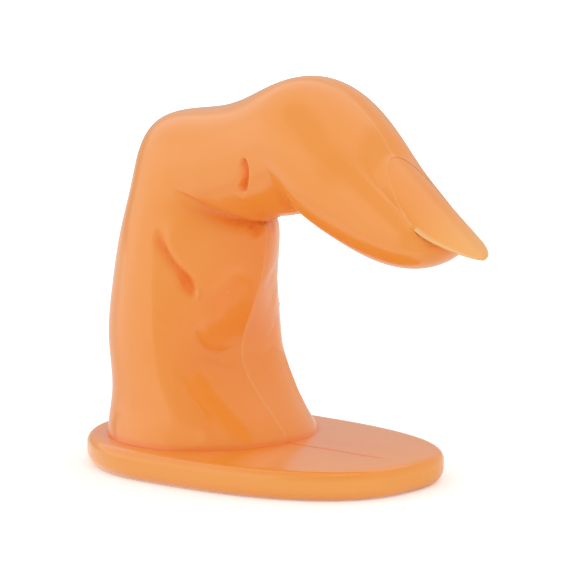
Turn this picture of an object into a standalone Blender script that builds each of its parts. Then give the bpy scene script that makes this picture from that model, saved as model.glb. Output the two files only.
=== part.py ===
"""Nail practice finger: a bent hollow finger on an oval foot, moulded in two halves that are joined on
the middle plane, and a nail tip that slides into a pocket in front of the end knuckle.

Metres, +Z up. The finger points along +X and its middle plane is Y = 0. The origin is on the floor, under
the middle of the whole length from the foot's back edge to the nail's point.
"""

import math

import bmesh
import bpy
from mathutils import Vector

# Foot: one flat oval plate with a rounded rim.
FOOT_LENGTH = 0.065
FOOT_WIDTH = 0.0456
FOOT_THICKNESS = 0.005
FOOT_RIM_ROUND = 0.0012
FOOT_FRONT_SHARE = 0.624
FOOT_FRONT_POWER = 2.5
FOOT_BACK_POWER = 2.0
FOOT_OUTLINE_STEPS = 64

# Finger: its reach from the stem's back to the fingertip, its rise from the foot to the end knuckle's top,
# and its width where the stem meets the foot.
FINGER_REACH = 0.070
FINGER_RISE = 0.062
FINGER_WIDTH = 0.040
BACK_LEDGE = 0.0041

# Shells: the wall, the floor under the hollow stem, and the line of the joint between the halves.
WALL = 0.002
FLOOR_WALL = 0.002
JOINT_GAP = 0.0003
FIT = 0.0003
OVERRUN = 0.010

# Locating pins of the left half, and the posts inside that carry them.
PIN_DIAMETER = 0.002
PIN_LENGTH = 0.0025
POST_DIAMETER = 0.005

# Nail tip: a thin arched plate, and the pocket that holds its root under a lip of skin, with room all round
# it for the plate to slide. The opening in the skin is wider than the plate by a gap on each side, and the
# arch is wider than the opening by a margin.
NAIL_SHOWN = 0.0238
NAIL_TAB = 0.0045
NAIL_WIDTH = 0.0123
NAIL_THICKNESS = 0.0005
NAIL_FIT = 0.00015
NAIL_SIDE_GAP = 0.00015
NAIL_ARCH_MARGIN = 0.0004
NAIL_ARCH_HEIGHT = 0.0037
NAIL_WIDEST = 0.0135
NAIL_BED_DEPTH = 0.0020
NAIL_BED_SIDE = 0.0024
ROOT_POWER = 2.0
POINT_POWER = 1.65
SKIN_POWER = 2.0
OPEN_POWER = 8.0

# Dimple in each side of the last joint.
DIMPLE_LENGTH = 0.0048
DIMPLE_WIDTH = 0.0016
DIMPLE_DEPTH = 0.0009
DIMPLE_BEND = 0.0007

# Rings of the finger's cage from the foot to the fingertip. Each lies in a plane across the finger, from a
# point on the back of the finger to one on its palm side, and the places are shares of the reach and the
# rise above the foot. The half width is a share of half the finger's width. Widest says how far from the
# back the ring is widest, the two powers make its back and palm sides rounder or squarer, and waist draws
# the palm side in where the finger folds.
#    back x, back z, palm x, palm z, half width, widest, back power, palm power, waist
RING_SHARES = (
    (0.013, -0.040, 0.490, -0.040, 0.945, 0.55, 2.30, 1.90, 1.00),
    (0.013, 0.008, 0.489, 0.003, 0.940, 0.55, 2.30, 1.90, 1.00),
    (0.006, 0.056, 0.450, 0.055, 0.830, 0.56, 2.40, 2.00, 1.00),
    (0.011, 0.121, 0.386, 0.116, 0.810, 0.63, 2.25, 2.35, 1.00),
    (0.001, 0.194, 0.333, 0.194, 0.800, 0.69, 2.20, 2.50, 1.00),
    (-0.009, 0.274, 0.334, 0.274, 0.800, 0.69, 2.25, 2.25, 1.00),
    (-0.009, 0.371, 0.377, 0.363, 0.775, 0.61, 2.10, 1.60, 1.00),
    (0.003, 0.476, 0.407, 0.460, 0.755, 0.49, 1.90, 1.55, 1.00),
    (0.023, 0.581, 0.417, 0.542, 0.710, 0.45, 1.90, 1.65, 1.00),
    (0.043, 0.687, 0.416, 0.582, 0.620, 0.46, 1.95, 1.70, 0.97),
    (0.059, 0.790, 0.397, 0.597, 0.555, 0.47, 2.10, 1.85, 0.84),
    (0.106, 0.863, 0.429, 0.606, 0.555, 0.49, 2.15, 2.00, 1.00),
    (0.189, 0.882, 0.451, 0.613, 0.560, 0.50, 2.20, 2.00, 1.00),
    (0.287, 0.892, 0.477, 0.616, 0.555, 0.50, 2.20, 2.00, 1.00),
    (0.383, 0.924, 0.506, 0.618, 0.560, 0.50, 2.20, 2.00, 1.00),
    (0.470, 0.973, 0.543, 0.626, 0.580, 0.50, 2.20, 2.00, 1.00),
    (0.551, 1.000, 0.574, 0.637, 0.610, 0.50, 2.15, 2.00, 0.90),
    (0.634, 0.974, 0.606, 0.610, 0.625, 0.50, 2.10, 2.00, 1.00),
    (0.703, 0.921, 0.651, 0.581, 0.590, 0.50, 2.10, 2.00, 1.00),
    (0.757, 0.866, 0.703, 0.553, 0.525, 0.50, 2.15, 2.00, 1.00),
    (0.807, 0.808, 0.763, 0.527, 0.470, 0.50, 2.20, 2.00, 1.00),
    (0.857, 0.748, 0.829, 0.513, 0.450, 0.50, 2.20, 2.00, 1.00),
    (0.913, 0.689, 0.894, 0.513, 0.415, 0.50, 2.25, 2.00, 1.00),
    (0.966, 0.635, 0.946, 0.532, 0.345, 0.50, 2.15, 2.00, 1.00),
)
TIP_SHARES = (0.991, 0.577)
HOLLOW_TIP_SHARES = (0.93, 0.60)
NAIL_ROOT_SHARES = (0.804, 0.795)
NAIL_AIM_SHARES = (1.066, 0.558)
POST_SHARES = ((0.206, 0.129), (0.163, 0.718), (0.584, 0.815))
FOOT_PIN_SHARES = (0.66, 0.88)
DIMPLE_SHARES = (0.474, 0.735)
DIMPLE_SIDE_SHARE = 0.55

FIRST_NAIL_RING = 18
LAST_HOLLOW_RING = 21
RING_STEPS = 6
FORM_LEVELS = 2
HOLLOW_LEVELS = 1
ROUND_SIDES = 20
NAIL_STEPS_ALONG = 20
NAIL_STEPS_ACROSS = 8
SHARP_EDGE = math.radians(40.0)
WIDE = Vector((0.0, 1.0, 0.0))

# The nail lies along the line from its root to the place that it aims at, and slides along it. Its point,
# measured from the foot's back edge, gives the whole length and so the place of everything along X.
nail_run = (NAIL_AIM_SHARES[0] - NAIL_ROOT_SHARES[0]) * FINGER_REACH
nail_fall = (NAIL_ROOT_SHARES[1] - NAIL_AIM_SHARES[1]) * FINGER_RISE
NAIL_PITCH = math.atan2(nail_fall, nail_run)
OPENING_HALF = NAIL_WIDTH / 2.0 + NAIL_SIDE_GAP
ARCH_HALF = OPENING_HALF + NAIL_ARCH_MARGIN
nail_end = NAIL_SHOWN * math.cos(NAIL_PITCH) + NAIL_THICKNESS * math.sin(NAIL_PITCH) / 2.0
WHOLE_LENGTH = BACK_LEDGE + NAIL_ROOT_SHARES[0] * FINGER_REACH + nail_end
FOOT_BACK_X = -WHOLE_LENGTH / 2.0
FINGER_BACK_X = FOOT_BACK_X + BACK_LEDGE


def in_finger(share_x, share_z):
    """A place on the middle plane, from shares of the finger's reach and rise."""
    x = FINGER_BACK_X + share_x * FINGER_REACH
    z = FOOT_THICKNESS + share_z * FINGER_RISE
    return Vector((x, 0.0, z))


NAIL_ROOT = in_finger(*NAIL_ROOT_SHARES)


def new_collection(name):
    collection = bpy.data.collections.new(name)
    bpy.context.scene.collection.children.link(collection)
    return collection


def new_object(name, mesh, collection):
    obj = bpy.data.objects.new(name, mesh)
    collection.objects.link(obj)
    return obj


def from_bmesh(name, bm, collection):
    mesh = bpy.data.meshes.new(name)
    bm.to_mesh(mesh)
    bm.free()
    return new_object(name, mesh, collection)


def as_cutter(obj):
    obj.hide_render = True
    obj.display_type = "WIRE"
    return obj


def boolean(obj, tool, operation):
    modifier = obj.modifiers.new(f"{operation.lower()} {tool.name}", "BOOLEAN")
    modifier.operation = operation
    modifier.solver = "EXACT"
    modifier.object = tool


def principled(name, colour, roughness):
    material = bpy.data.materials.new(name)
    material.use_nodes = True
    shader = material.node_tree.nodes["Principled BSDF"]
    shader.inputs["Base Color"].default_value = (*colour, 1.0)
    shader.inputs["Roughness"].default_value = roughness
    shader.inputs["Metallic"].default_value = 0.0
    return material


def power_curve(angle, power):
    """The unit superellipse at an angle, as (cosine part, sine part)."""
    cosine = math.cos(angle)
    sine = math.sin(angle)
    return (
        math.copysign(abs(cosine) ** (2.0 / power), cosine),
        math.copysign(abs(sine) ** (2.0 / power), sine),
    )


def ring_points(shares, back_inset, palm_inset, side_inset):
    """One ring of the cage. It is swollen, since the smoothed surface runs inside its cage."""
    back_x, back_z, palm_x, palm_z, half_share, widest, back_power, palm_power, waist = shares
    back = in_finger(back_x, back_z)
    palm = in_finger(palm_x, palm_z)
    across = (palm - back).normalized()
    back += across * back_inset
    palm -= across * palm_inset
    half = half_share * FINGER_WIDTH / 2.0 - side_inset
    swell = 6.0 / (4.0 + 2.0 * math.cos(math.pi / RING_STEPS))
    centre = back.lerp(palm, widest)
    points = []
    for step in range(2 * RING_STEPS):
        angle = math.pi * step / RING_STEPS
        on_back = math.cos(angle) >= 0.0
        towards, sideways = power_curve(angle, back_power if on_back else palm_power)
        reach = (back - centre) * towards if on_back else (palm - centre) * -towards
        drawn_in = 1.0 if on_back else 1.0 + (1.0 - waist) * towards
        points.append(centre + (reach - WIDE * half * sideways * drawn_in) * swell)
    return points


def skin_rings(bm, rings, tip):
    """Faces between the rings, a flat face with sharp edges at the first and a fan to the tip at the last."""
    verts = [[bm.verts.new(point) for point in ring] for ring in rings]
    count = len(rings[0])
    for low, high in zip(verts, verts[1:]):
        for step in range(count):
            after = (step + 1) % count
            bm.faces.new((low[step], low[after], high[after], high[step]))
    floor = bm.faces.new(verts[0][::-1])
    point = bm.verts.new(tip)
    for step in range(count):
        bm.faces.new((verts[-1][step], verts[-1][(step + 1) % count], point))
    crease = bm.edges.layers.float.new("crease_edge")
    for edge in floor.edges:
        edge[crease] = 1.0
    bmesh.ops.recalc_face_normals(bm, faces=bm.faces)


def smooth_form(obj, levels):
    subdivision = obj.modifiers.new("smooth form", "SUBSURF")
    subdivision.levels = levels
    subdivision.render_levels = levels
    obj.modifiers.new("flat triangles", "TRIANGULATE")


def finger_outside(name, collection):
    """The outside of the whole finger, down into the foot."""
    bm = bmesh.new()
    rings = [ring_points(shares, 0.0, 0.0, 0.0) for shares in RING_SHARES]
    skin_rings(bm, rings, in_finger(*TIP_SHARES))
    obj = from_bmesh(name, bm, collection)
    smooth_form(obj, FORM_LEVELS)
    return obj


def finger_hollow(collection):
    """The space inside the finger, a wall within the outside. It keeps clear of the nail's pocket."""
    bm = bmesh.new()
    rings = []
    for number, shares in enumerate(RING_SHARES[1 : LAST_HOLLOW_RING + 1], start=1):
        at_nail = number >= FIRST_NAIL_RING
        back_inset = WALL + (NAIL_BED_DEPTH if at_nail else 0.0)
        side_inset = WALL + (NAIL_BED_SIDE if at_nail else 0.0)
        rings.append(ring_points(shares, back_inset, WALL, side_inset))
    lowest = [Vector((point.x, point.y, FLOOR_WALL)) for point in rings[0]]
    skin_rings(bm, [lowest, *rings], in_finger(*HOLLOW_TIP_SHARES))
    obj = as_cutter(from_bmesh("finger_hollow", bm, collection))
    smooth_form(obj, HOLLOW_LEVELS)
    return obj


def foot_plate(collection):
    """The oval plate: two half ovals of unlike length that meet where the plate is widest."""
    curve = bpy.data.curves.new("foot_outline", "CURVE")
    curve.dimensions = "2D"
    curve.fill_mode = "BOTH"
    curve.bevel_depth = FOOT_RIM_ROUND
    curve.bevel_resolution = 2
    curve.extrude = FOOT_THICKNESS / 2.0 - FOOT_RIM_ROUND
    front = FOOT_FRONT_SHARE * FOOT_LENGTH - FOOT_RIM_ROUND
    back = (1.0 - FOOT_FRONT_SHARE) * FOOT_LENGTH - FOOT_RIM_ROUND
    widest_x = FOOT_BACK_X + (1.0 - FOOT_FRONT_SHARE) * FOOT_LENGTH
    half = FOOT_WIDTH / 2.0 - FOOT_RIM_ROUND
    spline = curve.splines.new("POLY")
    spline.points.add(FOOT_OUTLINE_STEPS - 1)
    for step, point in enumerate(spline.points):
        angle = 2.0 * math.pi * step / FOOT_OUTLINE_STEPS
        in_front = math.cos(angle) > 0.0
        along, side = power_curve(angle, FOOT_FRONT_POWER if in_front else FOOT_BACK_POWER)
        point.co = (widest_x + along * (front if in_front else back), side * half, 0.0, 1.0)
    spline.use_cyclic_u = True
    guide = new_object("foot_outline", curve, collection)
    guide.location.z = FOOT_THICKNESS / 2.0
    return as_cutter(mesh_of_curve(guide, "foot_plate", collection))


def mesh_of_curve(guide, name, collection):
    """A closed mesh in place of a curve object, with its caps joined on."""
    bpy.context.view_layer.update()
    evaluated = guide.evaluated_get(bpy.context.evaluated_depsgraph_get())
    mesh = bpy.data.meshes.new_from_object(evaluated)
    mesh.name = name
    bm = bmesh.new()
    bm.from_mesh(mesh)
    bmesh.ops.remove_doubles(bm, verts=bm.verts, dist=FIT / 30.0)
    bmesh.ops.recalc_face_normals(bm, faces=bm.faces)
    bmesh.ops.triangulate(bm, faces=bm.faces)
    bm.to_mesh(mesh)
    bm.free()
    obj = new_object(name, mesh, collection)
    obj.matrix_world = guide.matrix_world.copy()
    bpy.data.objects.remove(guide)
    return obj


def add_rod(bm, place, radius, low_y, high_y):
    """A round rod along Y at a place on the middle plane."""
    made = bmesh.ops.create_cone(
        bm, cap_ends=True, segments=ROUND_SIDES, radius1=radius, radius2=radius, depth=high_y - low_y
    )
    for vert in made["verts"]:
        x, y, z = vert.co
        vert.co = (place.x + x, (low_y + high_y) / 2.0 + z, place.z - y)


def rods(name, places, radius, low_y, high_y, collection):
    bm = bmesh.new()
    for place in places:
        add_rod(bm, place, radius, low_y, high_y)
    bmesh.ops.recalc_face_normals(bm, faces=bm.faces)
    return as_cutter(from_bmesh(name, bm, collection))


def half_room(side, collection):
    """A block that holds everything on one side of the middle plane, clear of the joint."""
    length = WHOLE_LENGTH + 2.0 * OVERRUN
    depth = FOOT_WIDTH / 2.0 + OVERRUN
    height = FOOT_THICKNESS + FINGER_RISE + 2.0 * OVERRUN
    bm = bmesh.new()
    bmesh.ops.create_cube(bm, size=1.0)
    bmesh.ops.scale(bm, verts=bm.verts, vec=(length, depth, height))
    middle = Vector((0.0, side * (JOINT_GAP + depth) / 2.0, height / 2.0 - OVERRUN))
    bmesh.ops.translate(bm, verts=bm.verts, vec=middle)
    return as_cutter(from_bmesh("left_room" if side > 0.0 else "right_room", bm, collection))


def nail_sheet(name, back, front, half, back_power, front_power, collection):
    """An open sheet with an oval outline, bent over the nail's arch. It lies in the nail's own frame: X along
    the nail from where it comes out of the skin, Z out of the finger."""
    bm = bmesh.new()
    bmesh.ops.create_grid(bm, x_segments=NAIL_STEPS_ALONG, y_segments=NAIL_STEPS_ACROSS, size=1.0)
    for vert in bm.verts:
        angle = math.pi * (1.0 - vert.co.x) / 2.0
        in_front = math.cos(angle) > 0.0
        along, spread = power_curve(angle, front_power if in_front else back_power)
        side = vert.co.y * spread * half
        drop = NAIL_ARCH_HEIGHT * (1.0 - math.sqrt(1.0 - (side / ARCH_HALF) ** 2))
        vert.co = (NAIL_WIDEST + along * (front if in_front else back), side, -drop)
    bmesh.ops.remove_doubles(bm, verts=bm.verts, dist=FIT / 30.0)
    bmesh.ops.recalc_face_normals(bm, faces=bm.faces)
    obj = from_bmesh(name, bm, collection)
    obj.location = NAIL_ROOT
    obj.rotation_euler.y = NAIL_PITCH
    return obj


def thicken(obj, thickness):
    solidify = obj.modifiers.new("thickness", "SOLIDIFY")
    solidify.thickness = thickness
    solidify.offset = 0.0
    obj.modifiers.new("flat triangles", "TRIANGULATE")


def nail_slot(collection):
    """The slit that the nail's root slides into, open all the way to the fingertip."""
    half = NAIL_WIDTH / 2.0 + NAIL_FIT
    back = NAIL_WIDEST + NAIL_TAB + NAIL_FIT
    sheet = nail_sheet("nail_slot", back, NAIL_SHOWN, half, ROOT_POWER, OPEN_POWER, collection)
    thicken(sheet, NAIL_THICKNESS + 2.0 * NAIL_FIT)
    return as_cutter(sheet)


def nail_opening(collection):
    """The space over the nail, with the round edge of the skin behind it."""
    sheet = nail_sheet(
        "nail_opening", NAIL_WIDEST, NAIL_SHOWN, OPENING_HALF, SKIN_POWER, OPEN_POWER, collection
    )
    bm = bmesh.new()
    bm.from_mesh(sheet.data)
    made = bmesh.ops.extrude_face_region(bm, geom=bm.faces[:])
    raised = [item for item in made["geom"] if isinstance(item, bmesh.types.BMVert)]
    bmesh.ops.translate(bm, verts=raised, vec=(0.0, 0.0, OVERRUN))
    bmesh.ops.recalc_face_normals(bm, faces=bm.faces)
    bmesh.ops.triangulate(bm, faces=bm.faces)
    bm.to_mesh(sheet.data)
    bm.free()
    return as_cutter(sheet)


def dimples(collection):
    """Two bent drops, one sunk in each side of the finger."""
    centre = in_finger(*DIMPLE_SHARES)
    sides = ROUND_SIDES // 2
    bm = bmesh.new()
    for side in (-1.0, 1.0):
        place = centre + WIDE * side * DIMPLE_SIDE_SHARE * FINGER_WIDTH / 2.0
        made = bmesh.ops.create_uvsphere(bm, u_segments=sides, v_segments=sides, radius=1.0)
        for vert in made["verts"]:
            x, y, z = vert.co
            drop = Vector((x * DIMPLE_WIDTH / 2.0, y * DIMPLE_DEPTH, z * DIMPLE_LENGTH / 2.0))
            vert.co = place + drop + Vector(((0.5 - z * z) * DIMPLE_BEND, 0.0, 0.0))
    return as_cutter(from_bmesh("dimples", bm, collection))


def half_shell(name, side, tools, collection, material):
    obj = finger_outside(name, collection)
    boolean(obj, tools["dimples"], "DIFFERENCE")
    boolean(obj, tools["foot"], "UNION")
    boolean(obj, tools["hollow"], "DIFFERENCE")
    boolean(obj, tools["slot"], "DIFFERENCE")
    boolean(obj, tools["opening"], "DIFFERENCE")
    boolean(obj, tools["left_room" if side > 0.0 else "right_room"], "INTERSECT")
    if side > 0.0:
        boolean(obj, tools["pins"], "UNION")
    else:
        boolean(obj, tools["sockets"], "DIFFERENCE")
    obj.data.materials.append(material)
    return obj


def build():
    for old in list(bpy.data.objects):
        bpy.data.objects.remove(old)
    parts = new_collection("nail_practice_finger")
    cutters = new_collection("cutters")
    flesh = principled("peach_plastic", (0.93, 0.50, 0.22), 0.3)
    clear = principled("nail_plastic", (0.93, 0.62, 0.33), 0.25)

    posts = [in_finger(*shares) for shares in POST_SHARES]
    in_foot = FOOT_THICKNESS / 2.0
    foot_pins = [Vector((FOOT_BACK_X + share * FOOT_LENGTH, 0.0, in_foot)) for share in FOOT_PIN_SHARES]
    places = posts + foot_pins
    post_rods = rods("posts", posts, POST_DIAMETER / 2.0, -FINGER_WIDTH, FINGER_WIDTH, cutters)
    pin_rods = rods("pins", places, PIN_DIAMETER / 2.0, -PIN_LENGTH, PIN_LENGTH, cutters)
    socket_rods = rods("sockets", places, PIN_DIAMETER / 2.0 + FIT, -PIN_LENGTH - FIT, PIN_LENGTH, cutters)
    hollow = finger_hollow(cutters)
    boolean(hollow, post_rods, "DIFFERENCE")
    tools = {
        "foot": foot_plate(cutters),
        "dimples": dimples(cutters),
        "hollow": hollow,
        "slot": nail_slot(cutters),
        "opening": nail_opening(cutters),
        "left_room": half_room(1.0, cutters),
        "right_room": half_room(-1.0, cutters),
        "pins": pin_rods,
        "sockets": socket_rods,
    }
    left = half_shell("left_half_shell", 1.0, tools, parts, flesh)
    right = half_shell("right_half_shell", -1.0, tools, parts, flesh)

    nail_front = NAIL_SHOWN - NAIL_WIDEST
    nail = nail_sheet(
        "nail_tip", NAIL_WIDEST + NAIL_TAB, nail_front, NAIL_WIDTH / 2.0, ROOT_POWER, POINT_POWER, parts
    )
    thicken(nail, NAIL_THICKNESS)
    nail.data.materials.append(clear)
    for obj in (left, right, nail):
        obj.data.shade_smooth()
        obj.data.set_sharp_from_angle(angle=SHARP_EDGE)


build()
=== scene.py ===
import math

import bmesh
import bpy
import numpy as np
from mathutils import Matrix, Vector
from mathutils.bvhtree import BVHTree
from mathutils.kdtree import KDTree


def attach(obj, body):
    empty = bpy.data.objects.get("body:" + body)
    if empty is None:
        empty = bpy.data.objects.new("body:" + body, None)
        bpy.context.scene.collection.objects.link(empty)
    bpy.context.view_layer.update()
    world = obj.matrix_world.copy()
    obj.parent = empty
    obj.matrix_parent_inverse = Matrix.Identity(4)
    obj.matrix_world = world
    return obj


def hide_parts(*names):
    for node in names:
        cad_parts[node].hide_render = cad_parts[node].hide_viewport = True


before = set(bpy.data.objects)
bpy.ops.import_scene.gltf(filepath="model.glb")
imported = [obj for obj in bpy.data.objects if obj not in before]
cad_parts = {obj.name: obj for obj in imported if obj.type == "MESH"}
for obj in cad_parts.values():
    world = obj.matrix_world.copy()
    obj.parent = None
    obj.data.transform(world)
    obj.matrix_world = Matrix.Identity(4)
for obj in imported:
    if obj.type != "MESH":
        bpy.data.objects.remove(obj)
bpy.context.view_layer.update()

# The camera stands off the fingertip's right side, a little above the table. The places of creases on the near
# side of the finger are given further down as seen from here, in the picture's pixels.
PICTURE = 576
VIEW_AZIMUTH = math.radians(41.04)
VIEW_HEIGHT = math.radians(8.64)
VIEW_DISTANCE = 0.59868
VIEW_FOCAL_PIXELS = 3623.9
VIEW_TARGET = Vector((-0.001598, 0.0, 0.03101))
SENSOR = 36.0
NEAREST = 0.01

view_back = Vector((
    math.sin(VIEW_AZIMUTH) * math.cos(VIEW_HEIGHT),
    -math.cos(VIEW_AZIMUTH) * math.cos(VIEW_HEIGHT),
    math.sin(VIEW_HEIGHT),
))
view_right = Vector((math.cos(VIEW_AZIMUTH), math.sin(VIEW_AZIMUTH), 0.0))
view_up = view_back.cross(view_right)
view_place = VIEW_TARGET + view_back * VIEW_DISTANCE
bpy.ops.object.camera_add(location=view_place, rotation=(math.pi / 2.0 - VIEW_HEIGHT, 0.0, VIEW_AZIMUTH))
camera = bpy.context.object
camera.data.sensor_width = SENSOR
camera.data.lens = SENSOR * VIEW_FOCAL_PIXELS / PICTURE
camera.data.clip_start = NEAREST
bpy.context.scene.camera = camera


def sight(pixel):
    """The direction in which the camera sees a pixel."""
    across = (pixel[0] - PICTURE / 2.0) / VIEW_FOCAL_PIXELS
    down = (pixel[1] - PICTURE / 2.0) / VIEW_FOCAL_PIXELS
    return (view_right * across - view_up * down - view_back).normalized()


# The finger: one flowing form of glossy peach plastic from the foot to the fingertip, moulded in two halves. It is
# drawn up ring by ring, each ring lying across the finger from a point on its back to one on its palm side, and
# then smoothed.
FOOT_TOP = 0.005
FINGER_BACK_X = -0.035455
FINGER_REACH = 0.070
FINGER_RISE = 0.062
FINGER_HALF = 0.020
AROUND = 24
SAME_HEIGHT = 0.000001
#    back x, back z, palm x, palm z, half width, widest, back power, palm power, waist
RINGS = (
    (0.013, -0.040, 0.490, -0.040, 0.945, 0.55, 2.30, 1.90, 1.00),
    (0.013, 0.008, 0.489, 0.003, 0.940, 0.55, 2.30, 1.90, 1.00),
    (0.006, 0.056, 0.450, 0.055, 0.830, 0.56, 2.40, 2.00, 1.00),
    (0.011, 0.121, 0.386, 0.116, 0.810, 0.63, 2.25, 2.35, 1.00),
    (0.001, 0.194, 0.333, 0.194, 0.800, 0.69, 2.20, 2.50, 1.00),
    (-0.009, 0.274, 0.334, 0.274, 0.800, 0.69, 2.25, 2.25, 1.00),
    (-0.009, 0.371, 0.377, 0.363, 0.775, 0.61, 2.10, 1.60, 1.00),
    (0.003, 0.476, 0.407, 0.460, 0.755, 0.49, 1.90, 1.55, 1.00),
    (0.023, 0.581, 0.417, 0.542, 0.710, 0.45, 1.90, 1.65, 1.00),
    (0.043, 0.687, 0.416, 0.582, 0.620, 0.46, 1.95, 1.70, 0.97),
    (0.059, 0.790, 0.397, 0.597, 0.555, 0.47, 2.10, 1.85, 0.84),
    (0.106, 0.863, 0.429, 0.606, 0.555, 0.49, 2.15, 2.00, 1.00),
    (0.189, 0.882, 0.451, 0.613, 0.560, 0.50, 2.20, 2.00, 1.00),
    (0.287, 0.892, 0.477, 0.616, 0.555, 0.50, 2.20, 2.00, 1.00),
    (0.383, 0.924, 0.506, 0.618, 0.560, 0.50, 2.20, 2.00, 1.00),
    (0.470, 0.973, 0.543, 0.626, 0.580, 0.50, 2.20, 2.00, 1.00),
    (0.551, 1.000, 0.574, 0.637, 0.610, 0.50, 2.15, 2.00, 0.90),
    (0.634, 0.974, 0.606, 0.610, 0.625, 0.50, 2.10, 2.00, 1.00),
    (0.703, 0.921, 0.651, 0.581, 0.590, 0.50, 2.10, 2.00, 1.00),
    (0.757, 0.866, 0.703, 0.553, 0.525, 0.50, 2.15, 2.00, 1.00),
    (0.807, 0.808, 0.763, 0.527, 0.470, 0.50, 2.20, 2.00, 1.00),
    (0.857, 0.748, 0.829, 0.513, 0.450, 0.50, 2.20, 2.00, 1.00),
    (0.913, 0.689, 0.894, 0.513, 0.415, 0.50, 2.25, 2.00, 1.00),
    (0.966, 0.635, 0.946, 0.532, 0.345, 0.50, 2.15, 2.00, 1.00),
)
TIP = (0.991, 0.577)


def on_middle(x_share, z_share):
    return Vector((FINGER_BACK_X + x_share * FINGER_REACH, 0.0, FOOT_TOP + z_share * FINGER_RISE))


def power_curve(angle, power):
    cosine = math.cos(angle)
    sine = math.sin(angle)
    return (
        math.copysign(abs(cosine) ** (2.0 / power), cosine),
        math.copysign(abs(sine) ** (2.0 / power), sine),
    )


def ring_points(ring):
    """The places of one ring. It is swollen a little, since smoothing draws the form inside its rings."""
    back_x, back_z, palm_x, palm_z, half, widest, back_power, palm_power, waist = ring
    back = on_middle(back_x, back_z)
    palm = on_middle(palm_x, palm_z)
    centre = back.lerp(palm, widest)
    fuller = 6.0 / (4.0 + 2.0 * math.cos(2.0 * math.pi / AROUND))
    points = []
    for step in range(AROUND):
        angle = 2.0 * math.pi * step / AROUND
        on_back = math.cos(angle) >= 0.0
        towards, sideways = power_curve(angle, back_power if on_back else palm_power)
        reach = (back - centre) * towards if on_back else (palm - centre) * -towards
        drawn_in = 1.0 if on_back else 1.0 + (1.0 - waist) * towards
        points.append(centre + (reach - Vector((0.0, FINGER_HALF * half * sideways * drawn_in, 0.0))) * fuller)
    return points


def only(obj):
    bpy.ops.object.select_all(action="DESELECT")
    obj.select_set(True)
    bpy.context.view_layer.objects.active = obj


def apply_modifiers(obj):
    only(obj)
    for modifier in list(obj.modifiers):
        bpy.ops.object.modifier_apply(modifier=modifier.name)


def lies_at(edge, height):
    """Whether an edge lies level at a height."""
    return all(abs(vert.co.z - height) < SAME_HEIGHT for vert in edge.verts)


def move_ring(before, after):
    """Puts the selected ring's corners, which lie at one ring's places, at the next one's."""
    form = bmesh.from_edit_mesh(bpy.context.object.data)
    for vert in [vert for vert in form.verts if vert.select]:
        step = min(range(AROUND), key=lambda i: (vert.co - before[i]).length)
        vert.co = after[step]
    bmesh.update_edit_mesh(bpy.context.object.data)


bpy.ops.object.select_all(action="DESELECT")
bpy.ops.mesh.primitive_circle_add(vertices=AROUND, radius=FINGER_HALF, fill_type="NGON")
finger = bpy.context.object
finger.name = "finger_form"
places = [vert.co.copy() for vert in finger.data.vertices]
bpy.ops.object.mode_set(mode="EDIT")
bpy.ops.mesh.select_mode(type="FACE")
bpy.ops.mesh.select_all(action="SELECT")
for ring in RINGS:
    if ring is not RINGS[0]:
        bpy.ops.mesh.extrude_region_move()
    move_ring(places, ring_points(ring))
    places = ring_points(ring)
bpy.ops.mesh.poke()
form = bmesh.from_edit_mesh(finger.data)
middle = max((vert for vert in form.verts if vert.select), key=lambda vert: len(vert.link_edges))
middle.co = on_middle(*TIP)
sharp = form.edges.layers.float.new("crease_edge")
low = on_middle(RINGS[0][0], RINGS[0][1]).z
for edge in form.edges:
    if lies_at(edge, low):
        edge[sharp] = 1.0
bmesh.update_edit_mesh(finger.data)
bpy.ops.mesh.select_all(action="SELECT")
bpy.ops.mesh.normals_make_consistent(inside=False)
bpy.ops.object.mode_set(mode="OBJECT")
flesh = finger.modifiers.new("flesh", "SUBSURF")
flesh.levels = flesh.render_levels = 4
apply_modifiers(finger)


# The skin's relief, worked into the mould: the folds behind the bent joint, the knuckle's crease, the dimple and
# the soft hollows. Each is a line on the near side, and the mould has the same one on the far side.
def vertex_array(obj, name="co"):
    values = np.empty(len(obj.data.vertices) * 3, np.float32)
    obj.data.vertices.foreach_get(name, values)
    return values.reshape(-1, 3).astype(float)


def set_vertices(obj, points):
    obj.data.vertices.foreach_set("co", points.astype(np.float32).ravel())
    obj.data.update()


def surface_tree(obj):
    return BVHTree.FromPolygons(
        [vert.co for vert in obj.data.vertices], [poly.vertices[:] for poly in obj.data.polygons]
    )


skin_tree = surface_tree(finger)
skin = vertex_array(finger)
outward = vertex_array(finger, "normal")
relief = np.zeros(len(skin))
MIRROR = np.array((1.0, -1.0, 1.0))
MILLIMETRES = 1000.0
NEAR_LINE = 0.012
LINE_STEPS = 6
STEP_SLOPE = 0.35
RIDGE_FADE = 0.2
TINY = 0.000001


def seen_on_skin(pixels):
    """The places on the skin that the camera sees at some pixels."""
    found = []
    for pixel in pixels:
        place, normal, index, distance = skin_tree.ray_cast(view_place, sight(pixel))
        if place is None:
            raise ValueError(f"no skin at {pixel}")
        found.append(np.array(place))
    return np.array(found)


def smooth_line(points):
    """A Catmull-Rom line through some points."""
    points = np.asarray(points, float)
    ends = np.vstack([2 * points[0] - points[1], points, 2 * points[-1] - points[-2]])
    line = []
    for i in range(1, len(ends) - 2):
        a, b, c, d = ends[i - 1 : i + 3]
        for t in np.arange(LINE_STEPS) / LINE_STEPS:
            bend = 2 * a - 5 * b + 4 * c - d
            twist = 3 * b - a - 3 * c + d
            line.append(0.5 * (2 * b + (c - a) * t + bend * t**2 + twist * t**3))
    line.append(points[-1])
    return np.array(line)


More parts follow.
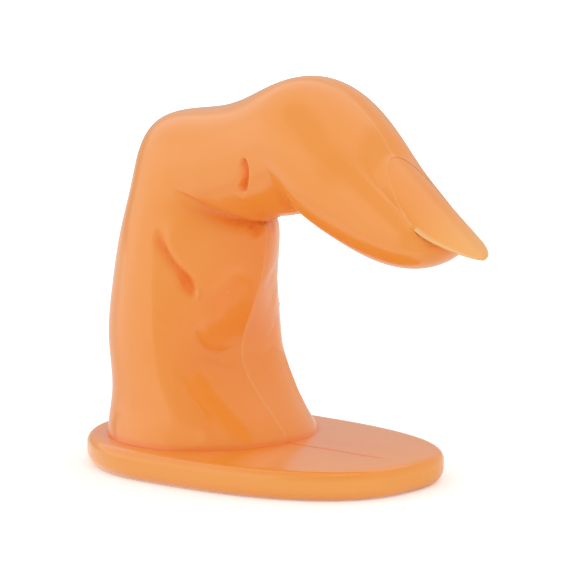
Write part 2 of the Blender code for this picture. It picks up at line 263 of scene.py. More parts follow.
def along_line(points, facing, line):
    """For each point, how far along the line it is, from 0 to 1, and its distance from the line, more than zero
    on the left of it as seen from outside."""
    lengths = np.linalg.norm(np.diff(line, axis=0), axis=1)
    starts = np.concatenate([[0.0], np.cumsum(lengths)])
    best = np.full(len(points), np.inf)
    along = np.zeros(len(points))
    left = np.zeros(len(points))
    for i, length in enumerate(lengths):
        direction = (line[i + 1] - line[i]) / length
        t = np.clip((points - line[i]) @ direction, 0.0, length)
        gap = points - (line[i] + t[:, None] * direction)
        distance = np.linalg.norm(gap, axis=1)
        closer = distance < best
        best[closer] = distance[closer]
        along[closer] = (starts[i] + t[closer]) / starts[-1]
        leftward = np.einsum("ij,ij->i", gap[closer], np.cross(facing[closer], direction))
        left[closer] = np.where(leftward < 0.0, -1.0, 1.0)
    return along, best * left


def fold(pixels, depth, left, right, step=0.0, step_wide=1.0, start=0.15, end=0.15, sharp=1.0, far=1.0):
    """Sinks a line into the skin, in millimetres: its depth, how far it reaches on its left and on its right,
    and a step of flesh that stands over it on the left. Start and end are the shares of its length over which
    it fades. A sharpness of 1 gives a crease and 2 a soft valley. Far is its share on the far side."""
    line = smooth_line(seen_on_skin(pixels))
    lowest = line.min(axis=0) - NEAR_LINE
    highest = line.max(axis=0) + NEAR_LINE
    for side in (np.ones(3), MIRROR):
        near = np.all((skin * side > lowest) & (skin * side < highest), axis=1) & (skin[:, 1] * side[1] <= 0.0)
        along, across = along_line(skin[near] * side, outward[near] * side, line)
        across = across * MILLIMETRES
        fade = np.clip(along / max(start, TINY), 0.0, 1.0) * np.clip((1.0 - along) / max(end, TINY), 0.0, 1.0)
        fade = fade * fade * (3.0 - 2.0 * fade)
        reach = np.where(across > 0.0, left, right)
        sunk = np.exp(-(np.abs(across) / reach) ** sharp)
        raised = np.clip(across / STEP_SLOPE, 0.0, 1.0) * np.exp(-np.abs(across) / step_wide)
        whole = 1.0 if side[1] > 0.0 else far
        relief[near] += whole * fade * (step * raised - depth * sunk) / MILLIMETRES


def ridge(pixels, height, reach):
    """Draws the skin out to a soft edge along a line on the middle plane, in millimetres."""
    line = seen_on_skin(pixels)
    line[:, 1] = 0.0
    line = smooth_line(line)
    near = np.all((skin > line.min(axis=0) - NEAR_LINE) & (skin < line.max(axis=0) + NEAR_LINE), axis=1)
    along, across = along_line(skin[near], outward[near], line)
    fade = np.clip(along / RIDGE_FADE, 0.0, 1.0) * np.clip((1.0 - along) / RIDGE_FADE, 0.0, 1.0)
    relief[near] += fade * height / MILLIMETRES * np.exp(-np.abs(across) * MILLIMETRES / reach)


def swell(pixel, height, radius, stretch=1.0, lean=0.0, far=1.0):
    """Raises or sinks an oval patch of skin about the place seen at a pixel, in millimetres. It is stretched
    along a line that leans forward from upright by an angle in degrees."""
    middle = seen_on_skin([pixel])[0]
    turn = math.radians(lean)
    for side in (np.ones(3), MIRROR):
        here = (skin * side - middle) * MILLIMETRES
        across = here[:, 0] * math.cos(turn) - here[:, 2] * math.sin(turn)
        upward = here[:, 0] * math.sin(turn) + here[:, 2] * math.cos(turn)
        distance = np.sqrt(across**2 + here[:, 1] ** 2 + (upward / stretch) ** 2)
        own_side = skin[:, 1] * side[1] <= 0.0
        whole = 1.0 if side[1] > 0.0 else far
        relief[own_side] += whole * height / MILLIMETRES * np.exp(-((distance[own_side] / radius) ** 2))


# The main fold, under the roll of flesh of the middle joint, with a pocket at its inner end.
fold(((165, 187), (180, 193), (200, 200.5), (225, 210), (245, 216.5), (264, 218.5)), 0.55, 0.35, 0.60,
     step=0.85, step_wide=3.4, start=0.5, end=0.0)
fold(((190, 204), (210, 212), (232, 220), (252, 225)), 0.25, 1.6, 1.8, start=0.3, end=0.2, sharp=2.0)
fold(((248, 221), (256, 228), (261, 236)), 0.45, 1.1, 1.0, start=0.3, end=0.4, sharp=2.0, far=0.4)
# The side fold, which starts in an oval pit and ends in a leaf-shaped one with a curled lip.
swell((160, 239), -0.45, 0.85, stretch=1.7, lean=-10.0, far=0.3)
fold(((157, 234), (161, 243), (165.5, 251), (171, 260), (178.5, 269), (187, 279), (192.5, 288), (194.5, 299)),
     0.80, 0.55, 0.90, step=0.06, step_wide=2.5, start=0.25, end=0.12, sharp=1.2, far=0.3)
swell((186, 282), -0.60, 1.0, stretch=1.8, lean=-30.0, far=0.3)
fold(((196.5, 288), (198.5, 294), (197, 302)), -0.34, 0.45, 0.40, start=0.3, end=0.4, sharp=2.0, far=0.0)
fold(((158, 268), (168, 282), (176, 292)), 0.12, 0.4, 0.5, start=0.4, end=0.4, sharp=2.0, far=0.3)
fold(((168, 274), (177, 285), (184, 295)), 0.12, 0.4, 0.5, start=0.4, end=0.4, sharp=2.0, far=0.3)
# The hollow of the palm side and the shallow creases under it.
fold(((203, 316), (220, 300), (238, 285), (250, 272)), 0.28, 2.8, 2.8, start=0.3, end=0.3, sharp=2.0)
fold(((192, 325), (198, 335), (202, 343), (210, 350), (225, 351), (240, 346)), 0.34, 0.45, 0.9,
     start=0.3, end=0.4, far=0.4)
fold(((190, 359), (205, 360), (222, 365), (238, 371), (249, 379)), 0.28, 0.45, 0.8, start=0.3, end=0.4, far=0.4)
fold(((160, 330), (165, 322), (185, 322)), -0.14, 0.6, 0.6, start=0.3, end=0.3, sharp=2.0)
fold(((165, 365), (180, 382), (190, 400), (200, 412), (208, 430), (212, 442)), -0.22, 0.9, 0.9,
     start=0.3, end=0.3, sharp=2.0)
# The soft edge down the palm side of the stem, along the parting line.
ridge(((263.5, 240), (263, 260), (258, 285), (250, 308), (244, 325), (241, 340), (243, 365), (249, 378),
       (258, 392), (270, 408), (280, 423)), 0.18, 1.2)
# The dimple in the side of the middle joint: crisp in front, soft behind.
fold(((241, 159), (244, 162.5), (245.5, 170.5), (245, 182), (242.5, 193)), 1.2, 0.34, 0.80,
     start=0.10, end=0.12, sharp=1.4)
swell((243, 198), 0.12, 0.8)
# The crease behind the end knuckle.
fold(((264, 150), (266, 166), (272, 180), (279, 193), (287, 205), (295, 211.5)), 0.50, 0.8, 2.0,
     step=0.25, step_wide=2.6, start=1.0, end=0.05, sharp=1.4)

set_vertices(finger, skin + outward * relief[:, None])
skin = vertex_array(finger)

# The pocket for the nail: a slit under the skin that takes the nail's root, and over it the opening in the skin,
# with a round edge behind the nail.
NAIL_ROOT = on_middle(0.804, 0.795)
NAIL_AIM = on_middle(1.066, 0.558)
NAIL_SHOWN = 0.0238
NAIL_WIDEST = 0.0135
NAIL_TAB = 0.0045
NAIL_HALF = 0.00615
NAIL_THICKNESS = 0.0005
NAIL_ARCH_HEIGHT = 0.0037
NAIL_FIT = 0.000015
OPENING_HALF = 0.00617
ARCH_HALF = 0.0067
CUT_HEIGHT = 0.010
nail_axis = (NAIL_AIM - NAIL_ROOT).normalized()
nail_pitch = math.atan2(-nail_axis.z, nail_axis.x)
nail_out = Vector((math.sin(nail_pitch), 0.0, math.cos(nail_pitch)))
LIP = 0.00008
FRONT_LIP = 0.00035
LIP_REACH = 0.0026
LIP_FADED = 2.5
LIP_RISES_FROM = 0.006
LIP_RISES_OVER = 0.006
SKIN_ABOUT_NAIL = 0.006


def about_opening(points):
    """How far along the nail some points lie, how high over it, and how far outside the opening's outline."""
    from_root = points - np.array(NAIL_ROOT)
    along = from_root @ np.array(nail_axis)
    over = from_root @ np.array(nail_out)
    across = np.abs(points[:, 1])
    oval_along = (along - NAIL_WIDEST) / NAIL_WIDEST
    oval_across = across / OPENING_HALF
    oval = np.sqrt(oval_along**2 + oval_across**2) + TINY
    steepness = np.sqrt((oval_along / NAIL_WIDEST) ** 2 + (oval_across / OPENING_HALF) ** 2) / oval + TINY
    return along, over, np.where(along < NAIL_WIDEST, (oval - 1.0) / steepness, across - OPENING_HALF)


# The skin round the nail is drawn down to a thin lip that lies almost flush with the nail and stands a little
# higher beside the front of it.
along_nail, above_nail, outside = about_opening(skin)
arched = np.clip(np.abs(skin[:, 1]), 0.0, OPENING_HALF) / ARCH_HALF
lip = LIP + FRONT_LIP * np.clip((along_nail - LIP_RISES_FROM) / LIP_RISES_OVER, 0.0, 1.0)
lip_top = NAIL_THICKNESS / 2.0 - NAIL_ARCH_HEIGHT * (1.0 - np.sqrt(1.0 - arched**2)) + lip
share = np.exp(-((np.clip(outside, 0.0, None) / LIP_REACH) ** 2))
drawn = (above_nail > lip_top) & (above_nail < SKIN_ABOUT_NAIL)
drawn &= (along_nail > -SKIN_ABOUT_NAIL) & (outside < LIP_FADED * LIP_REACH)
lowered = np.where(drawn, (lip_top - above_nail) * share, 0.0)
set_vertices(finger, skin + lowered[:, None] * np.array(nail_out))
skin = vertex_array(finger)

# The foot: a flat oval plate of the same peach plastic with a rounded rim, the lower part of the same two
# mouldings. It is made whole here and joined to the finger before the halves are parted.
FOOT_LENGTH = 0.06499
FOOT_HALF = 0.0228
FOOT_BACK_X = -0.039545
FOOT_FRONT = 0.624 * FOOT_LENGTH
FOOT_FRONT_POWER = 2.5
FOOT_BACK_POWER = 2.0
FOOT_POINTS = 192
TOP_ROUND = 0.0015
BOTTOM_ROUND = 0.0021
ROUND_STEPS = 7

bpy.ops.object.select_all(action="DESELECT")
bpy.ops.mesh.primitive_circle_add(vertices=FOOT_POINTS, radius=FOOT_HALF, fill_type="NGON")
foot = bpy.context.object
foot.name = "foot_form"
bpy.ops.object.mode_set(mode="EDIT")
plate = bmesh.from_edit_mesh(foot.data)
widest_x = FOOT_BACK_X + FOOT_LENGTH - FOOT_FRONT
for vert in plate.verts:
    angle = math.atan2(vert.co.y, vert.co.x)
    in_front = math.cos(angle) > 0.0
    along, side = power_curve(angle, FOOT_FRONT_POWER if in_front else FOOT_BACK_POWER)
    vert.co = (widest_x + along * (FOOT_FRONT if in_front else FOOT_LENGTH - FOOT_FRONT), side * FOOT_HALF, 0.0)
bmesh.update_edit_mesh(foot.data)
bpy.ops.mesh.select_all(action="SELECT")
bpy.ops.mesh.extrude_region_move(TRANSFORM_OT_translate={"value": (0.0, 0.0, FOOT_TOP)})
bpy.ops.mesh.select_all(action="SELECT")
bpy.ops.mesh.normals_make_consistent(inside=False)
for height, rounding in ((FOOT_TOP, TOP_ROUND), (0.0, BOTTOM_ROUND)):
    bpy.ops.mesh.select_mode(type="EDGE")
    bpy.ops.mesh.select_all(action="DESELECT")
    plate = bmesh.from_edit_mesh(foot.data)
    for edge in plate.edges:
        edge.select = lies_at(edge, height)
    bmesh.update_edit_mesh(foot.data)
    bpy.ops.mesh.bevel(offset=rounding, segments=ROUND_STEPS, affect="EDGES")
bpy.ops.object.mode_set(mode="OBJECT")


def boolean(obj, tool, operation):
    modifier = obj.modifiers.new(operation.lower(), "BOOLEAN")
    modifier.operation = operation
    modifier.solver = "MANIFOLD"
    modifier.object = tool
    apply_modifiers(obj)
    bpy.data.objects.remove(tool)


boolean(finger, foot, "UNION")

# The pocket is cut with two tools in the nail's own shape.
ROOT_POWER = 2.0
OPEN_POWER = 8.0
TOOL_STEPS = (48, 24)
MERGE = 0.000005


def nail_sheet(name, back, front, half, front_power, steps):
    """An arched sheet with an oval outline, in the nail's place. Its lengths are from where it is widest."""
    bpy.ops.object.select_all(action="DESELECT")
    bpy.ops.mesh.primitive_grid_add(x_subdivisions=steps[0], y_subdivisions=steps[1], size=2.0)
    sheet = bpy.context.object
    sheet.name = name
    bpy.ops.object.mode_set(mode="EDIT")
    grid = bmesh.from_edit_mesh(sheet.data)
    for vert in grid.verts:
        angle = math.pi * (1.0 - vert.co.x) / 2.0
        in_front = math.cos(angle) > 0.0
        along, spread = power_curve(angle, front_power if in_front else ROOT_POWER)
        side = vert.co.y * spread * half
        drop = NAIL_ARCH_HEIGHT * (1.0 - math.sqrt(1.0 - (side / ARCH_HALF) ** 2))
        vert.co = (NAIL_WIDEST + along * (front if in_front else back), side, -drop)
    bmesh.update_edit_mesh(sheet.data)
    bpy.ops.mesh.select_all(action="SELECT")
    bpy.ops.mesh.remove_doubles(threshold=MERGE)
    bpy.ops.mesh.normals_make_consistent(inside=False)
    bpy.ops.object.mode_set(mode="OBJECT")
    sheet.location = NAIL_ROOT
    sheet.rotation_euler.y = nail_pitch
    only(sheet)
    bpy.ops.object.transform_apply(location=True, rotation=True, scale=True)
    return sheet


def thicken(sheet, thickness):
    wall = sheet.modifiers.new("wall", "SOLIDIFY")
    wall.thickness = thickness
    wall.offset = 0.0
    apply_modifiers(sheet)


slit_back = NAIL_WIDEST + NAIL_TAB + NAIL_FIT
slit = nail_sheet("slit", slit_back, NAIL_SHOWN, NAIL_HALF + NAIL_FIT, OPEN_POWER, TOOL_STEPS)
thicken(slit, NAIL_THICKNESS + 2.0 * NAIL_FIT)
boolean(finger, slit, "DIFFERENCE")
opening = nail_sheet("opening", NAIL_WIDEST, NAIL_SHOWN, OPENING_HALF, OPEN_POWER, TOOL_STEPS)
only(opening)
bpy.ops.object.mode_set(mode="EDIT")
bpy.ops.mesh.select_all(action="SELECT")
bpy.ops.mesh.extrude_region_move(TRANSFORM_OT_translate={"value": nail_out * CUT_HEIGHT})
bpy.ops.mesh.select_all(action="SELECT")
bpy.ops.mesh.normals_make_consistent(inside=False)
bpy.ops.object.mode_set(mode="OBJECT")
boolean(finger, opening, "DIFFERENCE")

# The two half shells: mouldings of peach plastic, each with its half of the foot, bonded on the middle plane. A
# hair of room is left between them here. How deep each place lies in a fold, and whether it is on the lip round
# the nail, is kept with the mesh for the plastic: for its roughness, its painted shade in the folds and its painted
# highlight on the lip.
SEAM = 0.00001
SEAM_MERGE = 0.000001
SMOOTH_BELOW = math.radians(40.0)
DEEP_FOLD = 0.0006
NEAR_SKIN = 0.0004
LIP_EDGE = 0.00004
LIP_LOWEST = 0.0021
LIP_PALES_FROM = 0.001
LIP_PALES_OVER = 0.008
LIP_PALEST_START = 0.2

skin_points = KDTree(len(skin))
for index, point in enumerate(skin):
    skin_points.insert(point, index)
skin_points.balance()
halves = {}
for name, direction in (("right_half_shell", -1.0), ("left_half_shell", 1.0)):
    only(finger)
    bpy.ops.object.duplicate()
    half = bpy.context.object
    half.name = name + "_skin"
    bpy.ops.object.mode_set(mode="EDIT")
    bpy.ops.mesh.select_all(action="SELECT")
    bpy.ops.mesh.bisect(
        plane_co=(0.0, direction * SEAM / 2.0, 0.0),
        plane_no=(0.0, direction, 0.0),
        use_fill=True,
        clear_inner=True,
        clear_outer=False,
        threshold=SEAM_MERGE,
    )
    bpy.ops.object.mode_set(mode="OBJECT")
    only(half)
    bpy.ops.object.shade_smooth_by_angle(angle=SMOOTH_BELOW)
    depths = np.zeros(len(half.data.vertices), np.float32)
    for vert in half.data.vertices:
        place, index, distance = skin_points.find(vert.co)
        if distance < NEAR_SKIN:
            depths[vert.index] = min(max(-relief[index] / DEEP_FOLD, 0.0), 1.0)
    half.data.attributes.new("fold", "FLOAT", "POINT").data.foreach_set("value", depths)
    # The lip's mask carries a painted highlight on the skin's edge round the nail, fainter near the nail's root.
    along_nail, above_nail, outside = about_opening(vertex_array(half))
    on_edge = (np.abs(outside) < LIP_EDGE) & (above_nail > -LIP_LOWEST) & (along_nail > -LIP_EDGE)
    painted_lip_highlight = np.clip((along_nail - LIP_PALES_FROM) / LIP_PALES_OVER, LIP_PALEST_START, 1.0)
    edge = (on_edge * painted_lip_highlight).astype(np.float32)
    half.data.attributes.new("lip", "FLOAT", "POINT").data.foreach_set("value", edge)
    halves[name] = half
bpy.data.objects.remove(finger)


class Flow:
    """A shader socket. Python's operators on it add Math nodes, and node() adds any other node."""

    def __init__(self, tree, socket=None):
        self.tree = tree
        self.socket = socket

    def node(self, kind, settings, values, output=0):
        made = self.tree.nodes.new(kind)
        for name, value in settings.items():
            setattr(made, name, value)
        for key, value in values.items():
            if isinstance(value, Flow):
                self.tree.links.new(value.socket, made.inputs[key])
            else:
                made.inputs[key].default_value = value
        return Flow(self.tree, made.outputs[output])

    def maths(self, operation, *terms):
        return self.node("ShaderNodeMath", {"operation": operation}, dict(enumerate(terms)))

    def __add__(self, other):
        return self.maths("ADD", self, other)

    def __mul__(self, other):
        return self.maths("MULTIPLY", self, other)

    def __sub__(self, other):
        return self.maths("SUBTRACT", self, other)

    def __rsub__(self, other):
        return self.maths("SUBTRACT", other, self)

    def __truediv__(self, other):
        return self.maths("DIVIDE", self, other)

    def __pow__(self, other):
        return self.maths("POWER", self, other)

    def __abs__(self):
        return self.maths("ABSOLUTE", self)

    __radd__ = __add__
    __rmul__ = __mul__

    def larger(self, other):
        return self.maths("MAXIMUM", self, other)

    def axis(self, name):
        """One of a place's or direction's three numbers."""
        return self.node("ShaderNodeSeparateXYZ", {}, {"Vector": self}, name)

    def ramp(self, low, high, to_low=0.0, to_high=1.0):
        values = {"Value": self, "From Min": low, "From Max": high, "To Min": to_low, "To Max": to_high}
        return self.node("ShaderNodeMapRange", {"interpolation_type": "SMOOTHSTEP"}, values)

    def mix(self, first, second):
        """One colour where this is 0 and another where it is 1."""
        return self.node("ShaderNodeMix", {"data_type": "RGBA"}, {"Factor": self, 6: first, 7: second}, 2)


def noise(place, scale, detail=2.0):
    return place.node("ShaderNodeTexNoise", {}, {"Vector": place, "Scale": scale, "Detail": detail})


def plastic(name):
    """A new glossy plastic: its material, its shader and a start for its nodes."""
    material = bpy.data.materials.new(name)
    material.use_nodes = True
    return material, material.node_tree.nodes["Principled BSDF"], Flow(material.node_tree)


def connect(shader, **flows):
    for name, flow in flows.items():
        flow.tree.links.new(flow.socket, shader.inputs[name.replace("_", " ")])


# The peach plastic: glossy, with a slight orange peel from the mould. Painted shade deepens its colour in the folds
# and round the stem's foot, and a painted sheen makes the foot's rim paler. The parting line is a painted highlight,
# a paler hair standing for the flash on the finger, and painted shade, a fine darker line standing for a groove in
# the top of the foot. A painted highlight makes the lip round the nail pale.
PEACH = (0.965, 0.330, 0.050, 1.0)
PEACH_PALE = (0.97, 0.350, 0.060, 1.0)
PEACH_PAINTED_SHADE = (0.965, 0.245, 0.032, 1.0)
PEACH_RIM_SHEEN = (0.965, 0.395, 0.070, 1.0)
PEACH_FLASH_HIGHLIGHT = (0.97, 0.47, 0.13, 1.0)
PEACH_GROOVE_SHADE = (0.86, 0.190, 0.022, 1.0)
PEACH_LIP_HIGHLIGHT = (0.98, 0.66, 0.34, 1.0)
FLASH_HALF = 0.00032
GROOVE_HALF = 0.00075
STEM_X = -0.0182
STEM_DEEP = 0.0165
STEM_HALF = 0.0186
STEM_POWER = 2.1
JUNCTION = 0.06
RIM_HEIGHTS = (0.0034, 0.0048)
FOOT_TOP_HEIGHTS = (0.00505, 0.0053)
JUNCTION_HEIGHTS = (0.0052, 0.0062)
FLASH_ON_FOOT = (0.0042, 0.0050)
FLASH_ON_STEM = (0.0056, 0.0064)
GROOVE_ENDS = (0.034, 0.040)

peach, shader, start = plastic("peach_plastic")
place = start.node("ShaderNodeTexCoord", {}, {}, "Object")
across = abs(place.axis("Y"))
upward = place.axis("Z")
ahead = place.axis("X") - STEM_X
fold_depth = start.node("ShaderNodeAttribute", {"attribute_name": "fold"}, {}, "Fac")
lip = start.node("ShaderNodeAttribute", {"attribute_name": "lip"}, {}, "Fac")
clouds = noise(place, 55.0, 3.0).ramp(0.35, 0.65)
peel = noise(place, 620.0)
# Painted highlight: a paler hair along the parting line on the finger stands for light caught by the flash.
painted_flash_line = across.ramp(0.0, FLASH_HALF, 1.0, 0.0) * upward.ramp(*FLASH_ON_FOOT)
outline = (abs(ahead) / STEM_DEEP) ** STEM_POWER + (across / STEM_HALF) ** STEM_POWER
from_stem = abs(outline ** (1.0 / STEM_POWER) - 1.0)
# Painted shade: a narrow band round the stem's foot, where it meets the foot's top, is made deeper in colour.
stem_foot_shade = from_stem.ramp(0.0, JUNCTION, 1.0, 0.0) * upward.ramp(*JUNCTION_HEIGHTS, 1.0, 0.0)
# Painted shade: a fine darker line along the parting line in the top of the foot stands for a groove that is not in
# the form.
painted_groove_line = across.ramp(0.0, GROOVE_HALF, 1.0, 0.0) * upward.ramp(*FOOT_TOP_HEIGHTS, 1.0, 0.0)
painted_groove_line = painted_groove_line * ahead.ramp(*GROOVE_ENDS, 1.0, 0.0)
colour = (clouds * 0.6).mix(PEACH, PEACH_PALE)
# Painted sheen: the foot's rim below its top is made paler.
colour = (upward.ramp(*RIM_HEIGHTS, 1.0, 0.0) * 0.8).mix(colour, PEACH_RIM_SHEEN)
# Painted shade: the colour deepens with the depth of the folds.
colour = (fold_depth.ramp(0.1, 1.0) * 0.7).mix(colour, PEACH_PAINTED_SHADE)
colour = (stem_foot_shade * 0.8).mix(colour, PEACH_PAINTED_SHADE)
colour = (painted_groove_line * 0.65).mix(colour, PEACH_GROOVE_SHADE)
colour = (painted_flash_line * upward.ramp(*FLASH_ON_STEM) * 0.7).mix(colour, PEACH_FLASH_HIGHLIGHT)
# Painted highlight: the skin's edge round the nail is made pale.
colour = (lip * 0.9).mix(colour, PEACH_LIP_HIGHLIGHT)
bump = start.node("ShaderNodeBump", {}, {"Strength": 0.08, "Distance": 0.00004, "Height": peel})
roughness = 0.14 + clouds * 0.03 + peel * 0.03 + fold_depth * 0.20 + painted_flash_line * 0.06 + painted_groove_line * 0.25
connect(shader, Base_Color=colour, Roughness=roughness, Normal=bump)

for name, half in halves.items():
    half.data.materials.clear()
    half.data.materials.append(peach)
    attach(half, "finger")
    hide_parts(name)

# The nail tip: a thin arched plate of slightly milky plastic, painted paler towards its free edge for light shining
# through it, with a painted highlight along the free part's rim. Its root slides in the slit under the skin, and the
# front of it stands free past the fingertip.
NAIL_EDGE = 0.00012
NAIL_THINNED = 0.00022
NAIL_POINT_POWER = 1.72
NAIL_RIM_WIDTH = 0.0005
NAIL_SHORTER = 0.0001
NAIL_STEPS = (72, 36)
NAIL_EDGE_STEPS = 3
NAIL_EDGE_ANGLE = math.radians(50.0)
nail_front = NAIL_SHOWN - NAIL_WIDEST - NAIL_SHORTER
nail = nail_sheet("nail_plate", NAIL_WIDEST + NAIL_TAB, nail_front, NAIL_HALF, NAIL_POINT_POWER, NAIL_STEPS)
thicken(nail, NAIL_THICKNESS)
plate = vertex_array(nail)
along_nail, above_nail, outside = about_opening(plate)
arched = NAIL_ARCH_HEIGHT * (1.0 - np.sqrt(1.0 - (plate[:, 1] / ARCH_HALF) ** 2))
underside = above_nail < -arched
thinned = NAIL_THINNED * np.clip((along_nail - NAIL_WIDEST) / (NAIL_SHOWN - NAIL_WIDEST), 0.0, 1.0)
set_vertices(nail, plate + (underside * thinned)[:, None] * np.array(nail_out))
soften = nail.modifiers.new("soft edge", "BEVEL")
soften.width = NAIL_EDGE
soften.segments = NAIL_EDGE_STEPS
soften.limit_method = "ANGLE"
soften.angle_limit = NAIL_EDGE_ANGLE
apply_modifiers(nail)
bpy.ops.object.shade_smooth_by_angle(angle=SMOOTH_BELOW)
plate = vertex_array(nail)
along_nail, above_nail, outside = about_opening(plate)
reach = np.clip((along_nail - NAIL_WIDEST) / (NAIL_SHOWN - NAIL_WIDEST), 0.0, 1.0)
half_here = NAIL_HALF * (1.0 - reach**NAIL_POINT_POWER) ** (1.0 / NAIL_POINT_POWER)
from_rim = half_here - np.abs(plate[:, 1])
# The rim's mask carries a painted highlight along the edge of the nail's free part.
rim_highlight = np.clip(1.0 - from_rim / NAIL_RIM_WIDTH, 0.0, 1.0) * (along_nail > NAIL_WIDEST)
nail.data.attributes.new("rim_highlight", "FLOAT", "POINT").data.foreach_set("value", rim_highlight.astype(np.float32))

NAIL_BED = (0.965, 0.325, 0.048, 1.0)
NAIL_FREE_PAINTED_LIGHT = (0.985, 0.45, 0.10, 1.0)
NAIL_RIM_HIGHLIGHT = (0.98, 0.60, 0.27, 1.0)
NAIL_BED_END = 0.008
clear, shader, start = plastic("nail_plastic")
place = start.node("ShaderNodeTexCoord", {}, {}, "Object")
from_root = start.node("ShaderNodeVectorMath", {"operation": "SUBTRACT"}, {0: place, 1: tuple(NAIL_ROOT)})
along = start.node("ShaderNodeVectorMath", {"operation": "DOT_PRODUCT"}, {0: from_root, 1: tuple(nail_axis)}, "Value")
clouds = noise(place, 90.0).ramp(0.3, 0.7)
fine = noise(place, 900.0)
# Painted light: the nail grows paler and yellower towards its free end, where light shines through it.
painted_free_light = along.ramp(NAIL_BED_END, NAIL_SHOWN)
rim_highlight = start.node("ShaderNodeAttribute", {"attribute_name": "rim_highlight"}, {}, "Fac")
colour = (painted_free_light * 0.9 + clouds * 0.08).mix(NAIL_BED, NAIL_FREE_PAINTED_LIGHT)
# Painted highlight: the free part's edge is made pale.
colour = (rim_highlight * 0.9).mix(colour, NAIL_RIM_HIGHLIGHT)
bump = start.node("ShaderNodeBump", {}, {"Strength": 0.1, "Distance": 0.00004, "Height": fine})
connect(shader, Base_Color=colour, Roughness=0.19 + clouds * 0.04 + fine * 0.03, Normal=bump)

nail.data.materials.clear()
nail.data.materials.append(clear)
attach(nail, "nail")
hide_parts("nail_tip")

# The stage: a white paper floor in a studio that lights the object nearly evenly. What the gloss mirrors is a white
# wall on the left and in front, dim ones behind and on the right, a dim patch overhead and the bright floor nearby.
# One broad softbox stands on the left, which shows in the gloss alone, and a weak one hangs overhead.
FLOOR_SIZE = 8.0
FLOOR_GLOW = 0.30
FLOOR_LEFT_GLOW = 0.60
FLOOR_NEAR_GLOW = 0.60
LIGHT_LOW = 0.97
LIGHT_HIGH = 0.80
WHITE_WALL = 1.42
DIM_WALL = 0.70
SHADE_WALL = 0.30
OVERHEAD_WALL = 0.86
LOW_WALL = 0.15
BEHIND = (-0.12, 0.62, -0.775)
RIGHT = (0.866, 0.0, -0.5)
CORNER = (0.81, 0.32, -0.49)
OVERHEAD = (-0.035, -0.453, 0.891)
OVERHEAD_EDGE = 0.925
BESIDE = (0.279, -0.726, 0.629)
BESIDE_EDGE = 0.956
AROUND_FOOT = (0.050, 0.075)
PAST_FOOT = (0.055, 0.080)
FLOOR_FAR = (0.10, 0.45)
SHADE_HEIGHTS = (12.0, 24.0)
LOW_HEIGHTS = (8.0, 18.0)
LIT_PLACE = Vector((0.0, 0.0, 0.035))

bpy.ops.object.select_all(action="DESELECT")
bpy.ops.mesh.primitive_plane_add(size=FLOOR_SIZE)
floor = bpy.context.object
floor.name = "floor"
paper, shader, start = plastic("white_paper")
to_camera = start.node("ShaderNodeLightPath", {}, {}, "Is Camera Ray")
place = start.node("ShaderNodeTexCoord", {}, {}, "Object")
out = start.node("ShaderNodeVectorMath", {"operation": "LENGTH"}, {0: place}, "Value")
away = out.ramp(*FLOOR_FAR)
forward = place.axis("X")
aside = place.axis("Y")
leftward = forward.ramp(0.0, 0.04, 1.0, 0.0) * aside.ramp(-0.06, -0.01, 1.0, 0.0) * out.ramp(*PAST_FOOT)
nearby = out.ramp(*AROUND_FOOT, 1.0, 0.0) * aside.ramp(-0.01, 0.01, 1.0, 0.0) * forward.ramp(-0.05, -0.01, 0.4, 1.0)
mirrored = start.node("ShaderNodeLightPath", {}, {}, "Is Glossy Ray")
shader.inputs["Base Color"].default_value = (0.96, 0.96, 0.96, 1.0)
shader.inputs["Roughness"].default_value = 0.9
glow = (leftward * FLOOR_LEFT_GLOW).larger(nearby * FLOOR_NEAR_GLOW)
glow = to_camera * (FLOOR_GLOW + away * (1.0 - FLOOR_GLOW)) + mirrored * glow
shader.inputs["Emission Color"].default_value = (1.0, 1.0, 1.0, 1.0)
start.tree.links.new(glow.socket, shader.inputs["Emission Strength"])
floor.data.materials.append(paper)


def softbox(name, azimuth, elevation, distance, size, radiance):
    """A soft light seen from the finger in a direction given in degrees. Its power gives it a plain radiance."""
    a = math.radians(azimuth)
    e = math.radians(elevation)
    toward = Vector((math.cos(a) * math.cos(e), math.sin(a) * math.cos(e), math.sin(e)))
    place = LIT_PLACE + toward * distance
    bpy.ops.object.light_add(type="AREA", location=place, rotation=toward.to_track_quat("Z", "Y").to_euler())
    light = bpy.context.object
    light.name = name
    light.data.shape = "RECTANGLE"
    light.data.size, light.data.size_y = size
    light.data.energy = radiance * math.pi * size[0] * size[1]
    return light


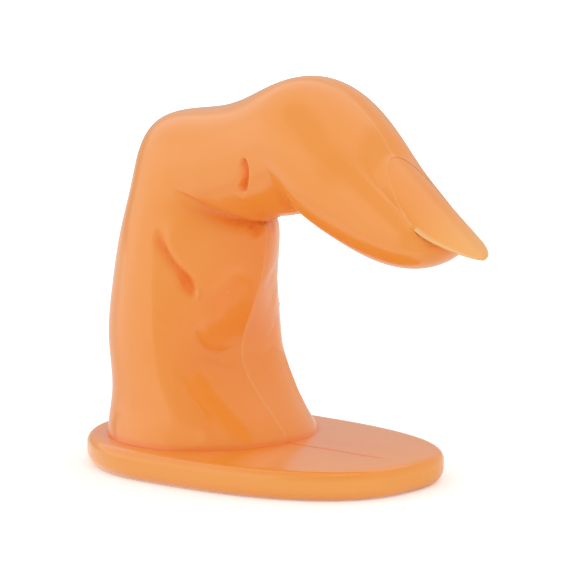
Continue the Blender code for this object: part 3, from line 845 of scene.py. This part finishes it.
left = softbox("left_softbox", azimuth=-124.0, elevation=12.0, distance=0.9, size=(1.31, 0.46), radiance=0.30)
left.visible_diffuse = False
softbox("top_softbox", azimuth=20.0, elevation=70.0, distance=1.0, size=(0.9, 0.9), radiance=0.10)


def facing(looking, direction):
    """How far a direction of view faces another one."""
    values = {0: looking, 1: direction}
    return looking.node("ShaderNodeVectorMath", {"operation": "DOT_PRODUCT"}, values, "Value")


studio = bpy.data.worlds.new("white_studio")
bpy.context.scene.world = studio
studio.use_nodes = True
start = Flow(studio.node_tree)
looking = start.node("ShaderNodeTexCoord", {}, {}, "Generated")
aside = looking.axis("Y")
height = looking.maths("ARCSINE", looking.axis("Z")) * math.degrees(1.0)
behind = facing(looking, BEHIND).ramp(-0.06, 0.06)
ahead = facing(looking, RIGHT).ramp(-0.04, 0.04)
corner = facing(looking, CORNER).ramp(-0.04, 0.04)
over = facing(looking, OVERHEAD).ramp(OVERHEAD_EDGE - 0.012, OVERHEAD_EDGE + 0.012)
beside = facing(looking, BESIDE).ramp(BESIDE_EDGE - 0.02, BESIDE_EDGE + 0.02)
shade = height.ramp(*SHADE_HEIGHTS) * aside.ramp(-0.1, 0.1, 1.0, 0.0)
walls = WHITE_WALL - over.larger(beside) * (WHITE_WALL - OVERHEAD_WALL)
walls = walls - behind * (walls - (DIM_WALL - height.ramp(*LOW_HEIGHTS, LOW_WALL, 0.0)))
walls = walls - ahead.larger(corner) * (walls - (DIM_WALL - shade * SHADE_WALL))
seen = start.node("ShaderNodeLightPath", {}, {}, "Is Camera Ray")
seen = seen.larger(start.node("ShaderNodeLightPath", {}, {}, "Is Transmission Ray"))
mirrored = start.node("ShaderNodeLightPath", {}, {}, "Is Glossy Ray")
diffuse = height.ramp(0.0, 80.0, LIGHT_LOW, LIGHT_HIGH)
strength = seen + (1.0 - seen) * (mirrored * walls + (1.0 - mirrored) * diffuse)
background = studio.node_tree.nodes["Background"]
background.inputs["Color"].default_value = (1.0, 1.0, 1.0, 1.0)
studio.node_tree.links.new(strength.socket, background.inputs["Strength"])
bpy.context.scene.view_settings.view_transform = "Standard"
